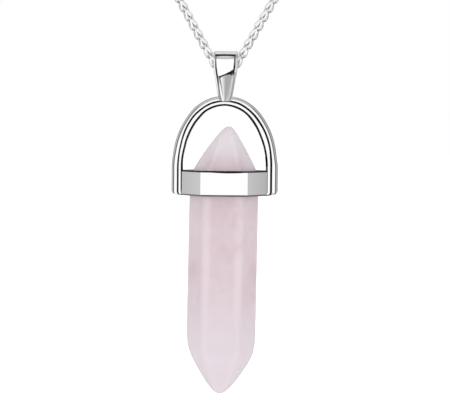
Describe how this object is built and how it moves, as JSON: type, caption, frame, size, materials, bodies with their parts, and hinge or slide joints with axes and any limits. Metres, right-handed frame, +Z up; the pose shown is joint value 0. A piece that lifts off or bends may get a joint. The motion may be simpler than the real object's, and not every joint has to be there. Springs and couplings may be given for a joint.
{
  "type": "rose quartz necklace",
  "caption": "Necklace with a milky pink hexagonal quartz point in a hexagonal silver collar under an arch and a tapered bail, on a fine wheat chain with a ring clasp.",
  "frame": {"origin": "the nape of the neck, in the middle of the closed clasp, where the chain rests", "axes": "+Z up, +X to the right as the front is seen, -Y out of the front, so that the pendant hangs at low Y and low Z"},
  "size_m": [0.113, 0.1254, 0.155],
  "materials": {
    "rose_quartz": "polished, milky and translucent",
    "polished_silver": "mirror polish",
    "chain_silver": "bright polish"
  },
  "bodies": {
    "neck_chain": {"chain": "chain_silver", "clasp": "chain_silver", "end_ring_left": "chain_silver", "end_ring_right": "chain_silver"},
    "pendant": {"holder": "polished_silver", "crystal": "rose_quartz"}
  },
  "joints": [
    {"name": "pendant_swing", "type": "hinge", "parent": "neck_chain", "child": "pendant", "pos_m": [0, -0.119, -0.114], "axis": [1, 0, 0], "range_deg": [-90, 90]}
  ]
}
